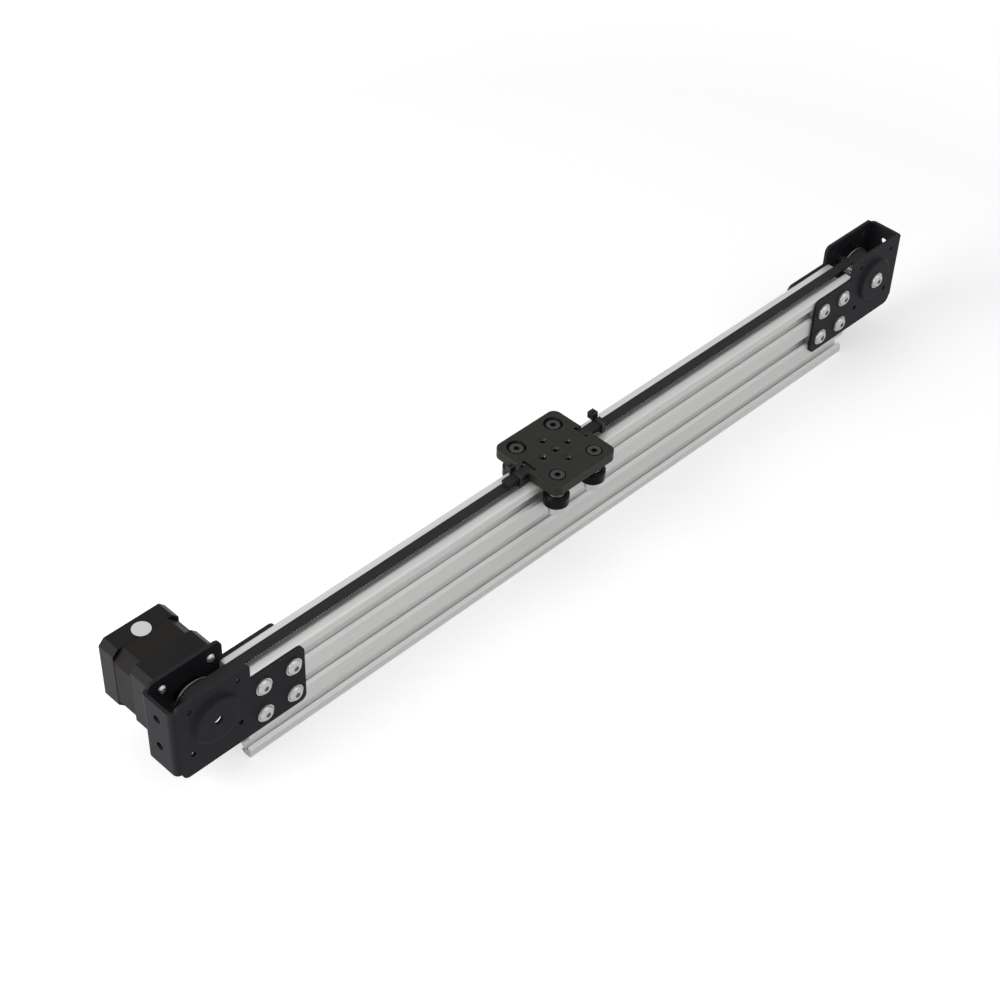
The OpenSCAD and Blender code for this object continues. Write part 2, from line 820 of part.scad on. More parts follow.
module belt() {
    color([0.07, 0.07, 0.07])
        translate([0, 0, axis_z]) slab_y(-belt_w / 2, belt_w / 2)
            difference() {
                union() {
                    translate([0, tip_r]) strand_shape();
                    translate([0, -tip_r]) rotate(180) strand_shape();
                    for (side = [-1, 1]) translate([side * axle_x, 0]) wrap_shape(side);
                }
                for (side = [-1, 1]) translate([side * axle_x, 0]) circle(tip_r + belt_play);
            }
}

// ---- idler ---------------------------------------------------------------------------

module at_idler() {
    translate([axle_x, 0, axis_z]) children();
}

module idler_pulley() {
    ring_d = idler_bearing_d - 2 * idler_wall;
    color([0.75, 0.75, 0.77]) at_idler() difference() {
        pulley_rim(ring_d);
        for (sy = [-1, 1])
            rod_y(idler_bearing_d, sy > 0 ? 0.5 : -rim_half - over, sy > 0 ? rim_half + over : -0.5);
    }
}

module idler_bearings() {
    color("silver") at_idler()
        for (sy = [-1, 1])
            tube_y(idler_bearing_d, axle_d + 2 * run_fit, sy > 0 ? 0.5 : -rim_half,
                sy > 0 ? rim_half : -0.5);
}

// Sleeves between the bearings and the floors of the two bosses
module idler_spacers() {
    color("silver") at_idler()
        for (sy = [-1, 1])
            tube_y(axle_d + 3, axle_d + 2 * fit, sy > 0 ? rim_half + 0.1 : -boss_floor_y,
                sy > 0 ? boss_floor_y : -rim_half - 0.1);
}

module idler_axle_screw() {
    seat = boss_floor_y + sheet_t;
    color("gainsboro") at_idler()
        translate([0, -seat, 0]) rotate([90, 0, 0])
            button_screw(axle_d, 2 * seat + lock_nut_h + 1);
}

module idler_axle_nut() {
    seat = boss_floor_y + sheet_t;
    color("gainsboro") at_idler()
        translate([0, seat + lock_nut_h, 0]) rotate([90, 0, 0])
            difference() {
                hexagon(lock_nut_flats, lock_nut_h);
                translate([0, 0, -over]) cylinder(d = axle_d, h = lock_nut_h + 2 * over);
            }
}

// ---- carriage ------------------------------------------------------------------------

module at_carriage() {
    translate([carriage_x, 0, 0]) children();
}

// Fixed wheels run at -Y, adjustable ones at +Y
module at_wheels(sides) {
    for (sx = [-1, 1], sy = sides)
        translate([sx * wheel_pitch / 2, sy * wheel_y, 0]) children();
}

// Notch that a belt clamp hooks into: a cross slot and the neck that leads to it
module notch_shape() {
    translate([notch_x, -notch_len / 2]) square([notch_w, notch_len]);
    translate([notch_x, -neck_len / 2]) square([carriage_w, neck_len]);
}

module carriage_outline() {
    difference() {
        square(carriage_w, center = true);
        for (sx = [-1, 1], sy = [-1, 1])
            corner_cut(sx * carriage_w / 2, sy * carriage_w / 2, sx, sy, carriage_corner_r);
        notch_shape();
        rotate(180) notch_shape();
    }
}

module carriage_plate() {
    color([0.16, 0.16, 0.15]) at_carriage() difference() {
        translate([0, 0, plate_bottom]) linear_extrude(carriage_t) carriage_outline();
        translate([-carriage_w, -channel_half, plate_bottom - over])
            cube([2 * carriage_w, 2 * channel_half, channel_top - plate_bottom + over]);
        for (p = [[0, 0], [tap_reach, 0], [-tap_reach, 0], [0, tap_reach], [0, -tap_reach]])
            translate([p[0], p[1], plate_bottom - over]) {
                cylinder(d = tap_d, h = carriage_t + 2 * over);
                translate([0, 0, carriage_t + over - tap_chamfer])
                    cylinder(d1 = tap_d, d2 = tap_mouth_d, h = tap_chamfer);
            }
        at_wheels([-1]) {
            translate([0, 0, head_seat]) cylinder(d = counterbore_d, h = carriage_t);
            translate([0, 0, plate_bottom - over])
                cylinder(d = bolt_d + 2 * fit, h = carriage_t + 2 * over);
        }
        at_wheels([1]) {
            translate([0, 0, deep_seat]) cylinder(d = wide_counterbore_d, h = carriage_t);
            translate([0, 0, plate_bottom - over])
                cylinder(d = eccentric_d + 2 * fit, h = carriage_t + 2 * over);
        }
    }
}

// Low head bolt, head's seat at z = seat, threaded down to below the lock nut
module wheel_bolt(seat) {
    translate([0, 0, bolt_end]) cylinder(d = bolt_d, h = seat - bolt_end);
    difference() {
        translate([0, 0, seat]) cylinder(d = bolt_head_d, h = bolt_head_h);
        translate([0, 0, seat + bolt_head_h - 1.8]) hexagon(bolt_hex, 1.8 + over);
    }
}

module wheel_bolts() {
    color("gray") at_carriage() at_wheels([-1]) wheel_bolt(head_seat);
}

module adjustable_wheel_bolts() {
    color("dimgray") at_carriage() at_wheels([1]) wheel_bolt(deep_seat);
}

module ring(d, bore, z0, z1) {
    translate([0, 0, z0]) difference() {
        cylinder(d = d, h = z1 - z0);
        translate([0, 0, -over]) cylinder(d = bore, h = z1 - z0 + 2 * over);
    }
}

module wheel_spacers() {
    color([0.1, 0.1, 0.1]) at_carriage() at_wheels([-1])
        ring(spacer_d, bolt_d + 2 * fit, wheel_z1 + shim_t, plate_bottom);
}

// Hexagon spacers whose collars sit in the plate and turn to set the wheels' pressure
module eccentric_spacers() {
    color([0.3, 0.3, 0.3]) at_carriage() at_wheels([1])
        difference() {
            union() {
                translate([0, 0, wheel_z1 + shim_t])
                    hexagon(spacer_d, plate_bottom - wheel_z1 - shim_t);
                translate([0, 0, plate_bottom])
                    cylinder(d = eccentric_d, h = deep_seat - plate_bottom - fit);
            }
            translate([0, 0, wheel_z1]) cylinder(d = bolt_d + 2 * fit, h = carriage_t * 3);
        }
}

// Thin rings that keep the spacer above and the nut below clear of the turning wheel
module wheel_shims() {
    color("silver") at_carriage() at_wheels([-1, 1]) {
        ring(shim_d, bolt_d + 2 * fit, wheel_z1 + 0.1, wheel_z1 + shim_t);
        ring(shim_d, bolt_d + 2 * fit, wheel_z0 - shim_t, wheel_z0 - 0.1);
    }
}

module wheel_lock_nuts() {
    z1 = wheel_z0 - shim_t;
    color("silver") at_carriage() at_wheels([-1, 1])
        translate([0, 0, z1 - lock_nut_h]) difference() {
            hexagon(lock_nut_flats, lock_nut_h);
            translate([0, 0, -over]) cylinder(d = bolt_d, h = lock_nut_h + 2 * over);
        }
}

// V wheel about Z, centred on the slot it runs in
module v_wheel() {
    bore_r = bearing_d / 2;
    rib_half = wheel_w / 2 - bearing_w;
    side_r = wheel_r - flank;
    translate([0, 0, axis_z]) rotate_extrude()
        polygon([
            [bore_r - 1, -rib_half], [bore_r, -rib_half], [bore_r, -wheel_w / 2],
            [side_r, -wheel_w / 2], [wheel_r, -wheel_rim / 2], [wheel_r, wheel_rim / 2],
            [side_r, wheel_w / 2], [bore_r, wheel_w / 2], [bore_r, rib_half],
            [bore_r - 1, rib_half]
        ]);
}

module v_wheel_at(sx, sy) {
    color([0.08, 0.08, 0.08]) at_carriage()
        translate([sx * wheel_pitch / 2, sy * wheel_y, 0]) v_wheel();
}

module front_left_wheel() { v_wheel_at(-1, -1); }
module front_right_wheel() { v_wheel_at(1, -1); }
module rear_left_wheel() { v_wheel_at(-1, 1); }
module rear_right_wheel() { v_wheel_at(1, 1); }

// The pair of bearings pressed into one wheel
module bearings_at(sx, sy) {
    color("silver") at_carriage()
        translate([sx * wheel_pitch / 2, sy * wheel_y, 0]) {
            ring(bearing_d, bolt_d + 2 * run_fit, wheel_z0, wheel_z0 + bearing_w);
            ring(bearing_d, bolt_d + 2 * run_fit, wheel_z1 - bearing_w, wheel_z1);
        }
}

module front_left_bearings() { bearings_at(-1, -1); }
module front_right_bearings() { bearings_at(1, -1); }
module rear_left_bearings() { bearings_at(-1, 1); }
module rear_right_bearings() { bearings_at(1, 1); }

// ---- belt fastening ------------------------------------------------------------------

// Both ends of the carriage, each drawn as the +X end
module at_belt_ends() {
    at_carriage() for (side = [0, 1]) mirror([side, 0, 0]) children();
}

// One side of the slit between the two meshed layers, from the loop outwards
function mesh_points(gap) = [
    for (x = [loop_x0 + 2 : belt_pitch : loop_end_x - belt_pitch], p = tooth_points(x + belt_pitch / 2))
        [p[0], loop_low + belt_back - p[1] + gap]
];

// The belt's end, folded back round a pin so that its teeth mesh
module loop_shape() {
    low = mesh_points(-slit);
    high = mesh_points(slit);
    mid = (loop_low + loop_high) / 2;
    last = len(low) - 1;
    difference() {
        union() {
            translate([loop_x0, mid]) circle(d = loop_pin_d + 2 * belt_back);
            translate([loop_x0, loop_low]) square([loop_end_x - loop_x0, loop_t]);
        }
        polygon(concat(
            low, [[loop_end_x + over, low[last][1]], [loop_end_x + over, high[last][1]]],
            [for (i = [0 : last]) high[last - i]]
        ));
        translate([loop_x0, mid]) circle(d = loop_pin_d);
    }
}

module belt_loops() {
    color([0.07, 0.07, 0.07]) at_belt_ends()
        slab_y(-belt_w / 2, belt_w / 2) loop_shape();
}

// Short pins that keep each loop behind the neck of its notch
module belt_loop_pins() {
    color("dimgray") at_belt_ends()
        translate([loop_x0, 0, (loop_low + loop_high) / 2])
            rod_y(loop_pin_d, -notch_len / 2 + fit, notch_len / 2 - fit);
}

// Cable tie round the belt and its folded end, the head standing at the +Y side
module cable_tie(x) {
    translate([x, 0, 0]) {
        difference() {
            union() {
                translate([-tie_w / 2, -tie_side - tie_t, tie_low - tie_t])
                    cube([tie_w, 2 * (tie_side + tie_t), loop_high - tie_low + 2 * tie_t]);
                translate([-tie_head_len / 2, tie_head_y, loop_high + tie_t / 2])
                    cube([tie_head_len, tie_head_w, tie_head_h]);
            }
            translate([-tie_w, -tie_side, tie_low])
                cube([2 * tie_w, 2 * tie_side, loop_high - tie_low]);
            translate([-tie_w / 2 - fit, tie_head_y + tie_head_w / 2 - tie_t, loop_high + 2 * tie_t])
                cube([tie_w + 2 * fit, 2 * tie_t, tie_head_h]);
        }
        translate([-tie_w / 2, tie_head_y + tie_head_w / 2 - tie_t / 2, loop_high + tie_t])
            cube([tie_w, tie_t, tie_head_h]);
    }
}

module cable_ties() {
    color([0.12, 0.12, 0.12]) at_carriage() {
        mirror([1, 0, 0]) cable_tie(left_tie_x);
        cable_tie(right_tie_x);
    }
}

rail();
motor_bracket();
idler_bracket();
motor_bracket_screws();
idler_bracket_screws();
motor_end_nuts();
idler_end_nuts();
motor_front_cap();
motor_stator();
motor_windings();
motor_rear_cap();
motor_rotor();
motor_shaft();
motor_bearings();
motor_case_screws();
motor_mounting_screws();
motor_connector();
drive_pulley();
pulley_set_screws();
belt();
idler_pulley();
idler_bearings();
idler_spacers();
idler_axle_screw();
idler_axle_nut();
carriage_plate();
belt_loops();
belt_loop_pins();
cable_ties();
wheel_bolts();
adjustable_wheel_bolts();
wheel_spacers();
eccentric_spacers();
wheel_shims();
wheel_lock_nuts();
front_left_wheel();
front_right_wheel();
rear_left_wheel();
rear_right_wheel();
front_left_bearings();
front_right_bearings();
rear_left_bearings();
rear_right_bearings();
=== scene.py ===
import json
import math

import bmesh
import bpy
from mathutils import Matrix, Vector


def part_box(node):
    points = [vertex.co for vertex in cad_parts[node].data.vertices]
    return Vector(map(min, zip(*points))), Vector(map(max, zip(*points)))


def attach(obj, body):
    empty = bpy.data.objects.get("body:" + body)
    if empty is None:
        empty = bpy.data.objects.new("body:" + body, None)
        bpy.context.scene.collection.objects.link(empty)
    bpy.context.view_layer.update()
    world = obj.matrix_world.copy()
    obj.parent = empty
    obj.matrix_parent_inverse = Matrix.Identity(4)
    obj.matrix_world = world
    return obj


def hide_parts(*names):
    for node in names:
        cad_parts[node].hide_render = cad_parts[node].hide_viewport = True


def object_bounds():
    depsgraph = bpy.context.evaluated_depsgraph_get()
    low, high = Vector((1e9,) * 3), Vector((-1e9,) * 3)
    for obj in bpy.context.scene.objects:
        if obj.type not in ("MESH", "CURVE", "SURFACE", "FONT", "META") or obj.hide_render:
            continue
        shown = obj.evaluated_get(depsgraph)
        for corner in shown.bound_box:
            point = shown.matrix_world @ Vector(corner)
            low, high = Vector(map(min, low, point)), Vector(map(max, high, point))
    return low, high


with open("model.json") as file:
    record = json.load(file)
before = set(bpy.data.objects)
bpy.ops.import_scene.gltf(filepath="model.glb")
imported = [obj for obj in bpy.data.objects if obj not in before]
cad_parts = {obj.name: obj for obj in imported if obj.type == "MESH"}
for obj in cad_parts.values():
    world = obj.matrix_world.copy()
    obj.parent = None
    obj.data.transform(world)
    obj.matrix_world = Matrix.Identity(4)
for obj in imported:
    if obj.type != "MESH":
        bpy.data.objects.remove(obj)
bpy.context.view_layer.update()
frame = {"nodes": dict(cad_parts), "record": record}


nodes = frame["nodes"]
print("frame loaded:", len(nodes), "nodes")


# node helpers

nodeGrid = {"left": -2400, "across": 180, "down": -120, "rows": 5}


# places nodes in a tree and joins their sockets
class NodeTree:

    def __init__(self, tree):
        self.tree = tree
        self.count = 0

    def add(self, kind, values=None, **settings):
        node = self.tree.nodes.new(kind)
        self.count += 1
        node.location = (self.count * nodeGrid["across"] + nodeGrid["left"],
                         self.count % nodeGrid["rows"] * nodeGrid["down"])
        for name, value in settings.items():
            setattr(node, name, value)
        for key, value in (values or {}).items():
            self.feed(node.inputs[key], value)
        return node

    def feed(self, socket, value):
        if isinstance(value, bpy.types.NodeSocket):
            self.tree.links.new(value, socket)
        else:
            socket.default_value = value

    def math(self, operation, a, b=0.0, clamp=False):
        node = self.add("ShaderNodeMath", {0: a, 1: b}, operation=operation)
        node.use_clamp = clamp
        return node.outputs[0]

    def remap(self, value, low, high, toLow=0.0, toHigh=1.0):
        node = self.add("ShaderNodeMapRange", {
            "Value": value, "From Min": low, "From Max": high,
            "To Min": toLow, "To Max": toHigh})
        return node.outputs[0]

    def mix(self, factor, a, b):
        node = self.add("ShaderNodeMix", data_type="RGBA")
        self.feed(node.inputs[0], factor)
        self.feed(node.inputs[6], a)  # the color sockets follow the float and vector ones
        self.feed(node.inputs[7], b)
        return node.outputs[2]

    def noise(self, vector, scale, detail, roughness=0.5):
        node = self.add("ShaderNodeTexNoise", {
            "Vector": vector, "Scale": scale, "Detail": detail, "Roughness": roughness})
        return node.outputs[0]

    def place(self):
        return self.add("ShaderNodeTexCoord").outputs["Object"]


def newGroup(name, inputs, outputs):
    tree = bpy.data.node_groups.new(name, "ShaderNodeTree")
    for label, kind, value in inputs:
        socket = tree.interface.new_socket(label, in_out="INPUT", socket_type=kind)
        if value is not None:
            socket.default_value = value
    for label, kind in outputs:
        tree.interface.new_socket(label, in_out="OUTPUT", socket_type=kind)
    build = NodeTree(tree)
    start = build.add("NodeGroupInput")
    end = build.add("NodeGroupOutput")
    return tree, build, start.outputs, end.inputs


# shared effects

grainLook = {"detail": 3.0, "roughness": 0.6, "fineShare": 0.65, "coarseShare": 0.35,
         "coarseScale": 0.21, "coarseDetail": 2.0, "low": 0.35, "high": 0.65}


def makeGrainGroup():
    # fine lines drawn out along one direction, as extruding, brushing or turning leaves
    tree, build, source, result = newGroup("drawnLines", [
        ("Vector", "NodeSocketVector", None),
        ("Stretch", "NodeSocketVector", (1.0, 1.0, 1.0)),
        ("Scale", "NodeSocketFloat", 1000.0),
        ("Depth", "NodeSocketFloat", 0.2),
    ], [
        ("Height", "NodeSocketFloat"),
        ("Mask", "NodeSocketFloat"),
    ])
    scaled = build.add("ShaderNodeVectorMath", {0: source["Vector"], 1: source["Stretch"]},
                       operation="MULTIPLY").outputs[0]
    fine = build.noise(scaled, source["Scale"], grainLook["detail"], grainLook["roughness"])
    coarseScale = build.math("MULTIPLY", source["Scale"], grainLook["coarseScale"])
    coarse = build.noise(scaled, coarseScale, grainLook["coarseDetail"])
    both = build.math("ADD", build.math("MULTIPLY", fine, grainLook["fineShare"]),
                      build.math("MULTIPLY", coarse, grainLook["coarseShare"]))
    build.feed(result["Height"], build.math("MULTIPLY", both, source["Depth"]))
    build.feed(result["Mask"], build.remap(both, grainLook["low"], grainLook["high"]))
    return tree


wearAndHighlightLook = {"samples": 4, "flat": 0.995, "sharp": 0.86, "scale": 900.0, "detail": 3.0,
        "low": 0.35, "high": 0.6, "polish": 0.12}


def makeWearAndHighlightGroup():
    # lighter and smoother edges, broken up along their length: wear where the finish is thin, and
    # painted highlight along edges and rims
    tree, build, source, result = newGroup("edgeWearAndHighlight", [
        ("Color", "NodeSocketColor", (0.1, 0.1, 0.1, 1.0)),
        ("Edge Color", "NodeSocketColor", (0.4, 0.4, 0.4, 1.0)),
        ("Radius", "NodeSocketFloat", 0.0004),
        ("Amount", "NodeSocketFloat", 0.5),
        ("Roughness", "NodeSocketFloat", 0.4),
    ], [
        ("Color", "NodeSocketColor"),
        ("Roughness", "NodeSocketFloat"),
        ("Mask", "NodeSocketFloat"),
    ])
    geometry = build.add("ShaderNodeNewGeometry")
    bevel = build.add("ShaderNodeBevel", {"Radius": source["Radius"]}, samples=wearAndHighlightLook["samples"])
    turn = build.add("ShaderNodeVectorMath", {0: bevel.outputs[0], 1: geometry.outputs["Normal"]},
                     operation="DOT_PRODUCT").outputs["Value"]
    edge = build.remap(turn, wearAndHighlightLook["flat"], wearAndHighlightLook["sharp"])
    patches = build.noise(build.place(), wearAndHighlightLook["scale"], wearAndHighlightLook["detail"])
    broken = build.remap(patches, wearAndHighlightLook["low"], wearAndHighlightLook["high"])
    mask = build.math("MULTIPLY", build.math("MULTIPLY", edge, broken), source["Amount"],
                      clamp=True)
    smoother = build.math("MULTIPLY", mask, wearAndHighlightLook["polish"])
    build.feed(result["Color"], build.mix(mask, source["Color"], source["Edge Color"]))
    build.feed(result["Roughness"], build.math("SUBTRACT", source["Roughness"], smoother))
    build.feed(result["Mask"], mask)
    return tree


speckLook = {"peelDetail": 2.0, "cloudScale": 35.0, "cloudDetail": 3.0, "cloudRoughness": 0.6}


def makeSpeckGroup():
    # the slight unevenness of a coated, cast or moulded surface
    tree, build, source, result = newGroup("fineSpeck", [
        ("Vector", "NodeSocketVector", None),
        ("Scale", "NodeSocketFloat", 2500.0),
        ("Depth", "NodeSocketFloat", 0.2),
        ("Low", "NodeSocketFloat", 0.35),
        ("High", "NodeSocketFloat", 0.5),
    ], [
        ("Height", "NodeSocketFloat"),
        ("Roughness", "NodeSocketFloat"),
        ("Tone", "NodeSocketFloat"),
    ])
    peel = build.noise(source["Vector"], source["Scale"], speckLook["peelDetail"])
    cloud = build.noise(source["Vector"], speckLook["cloudScale"], speckLook["cloudDetail"],
                        speckLook["cloudRoughness"])
    span = build.math("SUBTRACT", source["High"], source["Low"])
    uneven = build.math("MULTIPLY", cloud, span)
    build.feed(result["Height"], build.math("MULTIPLY", peel, source["Depth"]))
    build.feed(result["Roughness"], build.math("ADD", source["Low"], uneven))
    build.feed(result["Tone"], cloud)
    return tree


grainGroup = makeGrainGroup()
wearAndHighlightGroup = makeWearAndHighlightGroup()
speckGroup = makeSpeckGroup()
print("shared effects made")


# one material: a Principled BSDF fed by the shared effects
class Finish:

    def __init__(self, name, **constants):
        self.material = bpy.data.materials.new(name)
        self.material.use_nodes = True
        tree = self.material.node_tree
        tree.nodes.clear()
        self.build = NodeTree(tree)
        self.shader = self.build.add("ShaderNodeBsdfPrincipled")
        self.set(**constants)
        out = self.build.add("ShaderNodeOutputMaterial")
        tree.links.new(self.shader.outputs[0], out.inputs[0])
        self.place = self.build.place()

    def group(self, tree, **values):
        node = self.build.add("ShaderNodeGroup", node_tree=tree)
        for key, value in values.items():
            self.build.feed(node.inputs[key.replace("_", " ")], value)
        return node.outputs

    # lines and speck are placed by the object's own coordinates
    def lines(self, scale, stretch=(1.0, 1.0, 1.0)):
        return self.group(grainGroup, Vector=self.place, Stretch=stretch, Scale=scale, Depth=1.0)

    def speck(self, scale, depth, low, high):
        return self.group(speckGroup, Vector=self.place, Scale=scale, Depth=depth,
                          Low=low, High=high)

    # waves across Y, from -1 to 1
    def waves(self, length):
        across = self.build.add("ShaderNodeSeparateXYZ", {0: self.place}).outputs[1]
        turns = self.build.math("MULTIPLY", across, 2 * math.pi / length)
        return self.build.math("SINE", turns)

    def set(self, **values):
        for key, value in values.items():
            self.build.feed(self.shader.inputs[key.replace("_", " ")], value)

    def bump(self, height, strength, distance):
        node = self.build.add("ShaderNodeBump", {
            "Strength": strength, "Distance": distance, "Height": height})
        self.set(Normal=node.outputs[0])


def gray(level, tint=(0.0, 0.0, 0.0)):
    return (level + tint[0], level + tint[1], level + tint[2], 1.0)


# finishes

railLook = {"body": (0.69, 0.69, 0.68, 1.0), "dark": (0.60, 0.60, 0.595, 1.0),
            "paintedEndShade": (0.40, 0.40, 0.405, 1.0), "edge": (0.80, 0.80, 0.80, 1.0),
            "metallic": 0.55, "rough": (0.43, 0.53), "edgeRadius": 0.0003, "edgeAmount": 0.7,
            "lineScale": 2600.0, "lineStretch": (0.012, 1.0, 1.0),
            "speckScale": 5200.0, "speckDepth": 0.4, "endsFrom": 0.9,
            "bump": 0.18, "bumpDepth": 0.00004}


def anodisedRail():
    look = railLook
    finish = Finish("railAnodised", Metallic=look["metallic"])
    build = finish.build
    lines = finish.lines(look["lineScale"], look["lineStretch"])
    speck = finish.speck(look["speckScale"], look["speckDepth"], *look["rough"])
    tone = build.mix(lines["Mask"], look["dark"], look["body"])
    wornAndLit = finish.group(wearAndHighlightGroup, Color=tone, Edge_Color=look["edge"],
                        Radius=look["edgeRadius"], Amount=look["edgeAmount"],
                        Roughness=speck["Roughness"])
    # cut ends of the rail (faces across X) are darker: painted shade of the rail ends that sit
    # inside the brackets
    normal = build.add("ShaderNodeTexCoord").outputs["Normal"]
    along = build.add("ShaderNodeSeparateXYZ", {0: normal}).outputs[0]
    ends = build.math("GREATER_THAN", build.math("ABSOLUTE", along), look["endsFrom"])
    finish.set(Base_Color=build.mix(ends, wornAndLit["Color"], look["paintedEndShade"]),
               Roughness=wornAndLit["Roughness"])
    height = build.math("ADD", lines["Height"], speck["Height"])
    finish.bump(height, look["bump"], look["bumpDepth"])
    return finish.material


coatLook = {"deep": 0.8, "light": 1.2, "edgeLift": 0.12, "edgeRadius": 0.00035,
            "speckDepth": 1.0, "bump": 0.22, "bumpDepth": 0.00006}


def blackCoat(name, level, rough, tint=(0.0, 0.0, 0.0), edge=0.3, metallic=0.0, scale=1500.0,
              shine=0.06):
    look = coatLook
    finish = Finish(name, Metallic=metallic, Specular_IOR_Level=shine)
    speck = finish.speck(scale, look["speckDepth"], *rough)
    tone = finish.build.mix(speck["Tone"], gray(level * look["deep"], tint),
                            gray(level * look["light"], tint))
    wornAndLit = finish.group(wearAndHighlightGroup, Color=tone, Edge_Color=gray(level + look["edgeLift"]),
                        Radius=look["edgeRadius"], Amount=edge, Roughness=speck["Roughness"])
    finish.set(Base_Color=wornAndLit["Color"], Roughness=wornAndLit["Roughness"])
    finish.bump(speck["Height"], look["bump"], look["bumpDepth"])
    return finish.material


steelLook = {"metallic": 0.95, "deep": 0.86, "edgeLift": 0.2, "edgeMost": 0.95,
             "edgeRadius": 0.0002, "edgeAmount": 0.4, "lineScale": 3200.0,
             "speckScale": 2600.0, "speckDepth": 0.3, "bump": 0.12, "bumpDepth": 0.00003}


def plainSteel(name, level, rough):
    look = steelLook
    finish = Finish(name, Metallic=look["metallic"])
    lines = finish.lines(look["lineScale"])
    speck = finish.speck(look["speckScale"], look["speckDepth"], *rough)
    tone = finish.build.mix(lines["Mask"], gray(level * look["deep"]), gray(level))
    edge = gray(min(level + look["edgeLift"], look["edgeMost"]))
    wornAndLit = finish.group(wearAndHighlightGroup, Color=tone, Edge_Color=edge, Radius=look["edgeRadius"],
                        Amount=look["edgeAmount"], Roughness=speck["Roughness"])
    finish.set(Base_Color=wornAndLit["Color"], Roughness=wornAndLit["Roughness"])
    finish.bump(lines["Height"], look["bump"], look["bumpDepth"])
    return finish.material


plateLook = {"base": (0.016, 0.0165, 0.0135, 1.0), "light": (0.027, 0.028, 0.023, 1.0),
             "edge": (0.22, 0.22, 0.21, 1.0), "shine": 0.12, "rough": (0.36, 0.46),
             "edgeRadius": 0.0003, "edgeAmount": 0.5,
             "lineScale": 2400.0, "lineStretch": (1.0, 0.03, 1.0),
             "speckScale": 4200.0, "speckDepth": 0.5, "bump": 0.2, "bumpDepth": 0.00004}


def brushedBlackPlate():
    look = plateLook
    finish = Finish("plateBlackAnodised", Specular_IOR_Level=look["shine"])
    lines = finish.lines(look["lineScale"], look["lineStretch"])
    speck = finish.speck(look["speckScale"], look["speckDepth"], *look["rough"])
    tone = finish.build.mix(lines["Mask"], look["base"], look["light"])
    wornAndLit = finish.group(wearAndHighlightGroup, Color=tone, Edge_Color=look["edge"],
                        Radius=look["edgeRadius"], Amount=look["edgeAmount"],
                        Roughness=speck["Roughness"])
    finish.set(Base_Color=wornAndLit["Color"], Roughness=wornAndLit["Roughness"])
    height = finish.build.math("ADD", lines["Height"], speck["Height"])
    finish.bump(height, look["bump"], look["bumpDepth"])
    return finish.material


statorLook = {"base": (0.0135, 0.012, 0.0115, 1.0), "gap": (0.006, 0.0055, 0.0055, 1.0),
              "cloud": (0.016, 0.0135, 0.0125, 1.0), "sheet": 0.0005, "gapEdges": (-1.0, -0.6),
              "shine": 0.08, "rough": (0.42, 0.55), "speckScale": 2000.0, "speckDepth": 0.4,
              "bump": 0.35, "bumpDepth": 0.00005}


def laminatedStator():
    look = statorLook
    finish = Finish("statorLaminations", Specular_IOR_Level=look["shine"])
    build = finish.build
    gap = build.remap(finish.waves(look["sheet"]), *look["gapEdges"], 1.0, 0.0)
    speck = finish.speck(look["speckScale"], look["speckDepth"], *look["rough"])
    tone = build.mix(gap, look["base"], look["gap"])
    finish.set(Base_Color=build.mix(speck["Tone"], tone, look["cloud"]),
               Roughness=speck["Roughness"])
    finish.bump(build.math("SUBTRACT", speck["Height"], gap), look["bump"], look["bumpDepth"])
    return finish.material


beltLook = {"deep": 0.014, "light": 0.026, "shine": 0.12, "rough": (0.5, 0.68),
            "lineScale": 3600.0, "lineStretch": (0.05, 1.0, 1.0),
            "speckScale": 5200.0, "speckDepth": 0.8, "bump": 0.3, "bumpDepth": 0.00005}


def beltRubber():
    look = beltLook
    finish = Finish("beltRubber", Specular_IOR_Level=look["shine"])
    cords = finish.lines(look["lineScale"], look["lineStretch"])
    speck = finish.speck(look["speckScale"], look["speckDepth"], *look["rough"])
    tone = finish.build.mix(cords["Mask"], gray(look["deep"]), gray(look["light"]))
    finish.set(Base_Color=tone, Roughness=speck["Roughness"])
    height = finish.build.math("ADD", cords["Height"], speck["Height"])
    finish.bump(height, look["bump"], look["bumpDepth"])
    return finish.material


wireLook = {"deep": (0.30, 0.11, 0.04, 1.0), "light": (0.66, 0.30, 0.13, 1.0), "wire": 0.00035,
            "metallic": 0.8, "roughness": 0.4, "bump": 0.4, "bumpDepth": 0.00008}


def copperWire():
    look = wireLook
    finish = Finish("windingWire", Metallic=look["metallic"], Roughness=look["roughness"])
    # lighter on each wire's crest and darker in the grooves between wires: painted highlight and
    # painted shade
    wave = finish.waves(look["wire"])
    litCrest = finish.build.remap(wave, -1.0, 1.0)
    finish.set(Base_Color=finish.build.mix(litCrest, look["deep"], look["light"]))
    finish.bump(wave, look["bump"], look["bumpDepth"])
    return finish.material


plasticLook = {"shade": 0.85, "speckScale": 1800.0, "speckDepth": 0.6, "bump": 0.2,
               "bumpDepth": 0.00004}


def mouldedPlastic(name, color, rough, shine=0.5):
    look = plasticLook
    finish = Finish(name, Specular_IOR_Level=shine)
    speck = finish.speck(look["speckScale"], look["speckDepth"], *rough)
    shade = tuple(channel * look["shade"] for channel in color[:3]) + (1.0,)
    finish.set(Base_Color=finish.build.mix(speck["Tone"], shade, color),
               Roughness=speck["Roughness"])
    finish.bump(speck["Height"], look["bump"], look["bumpDepth"])
    return finish.material


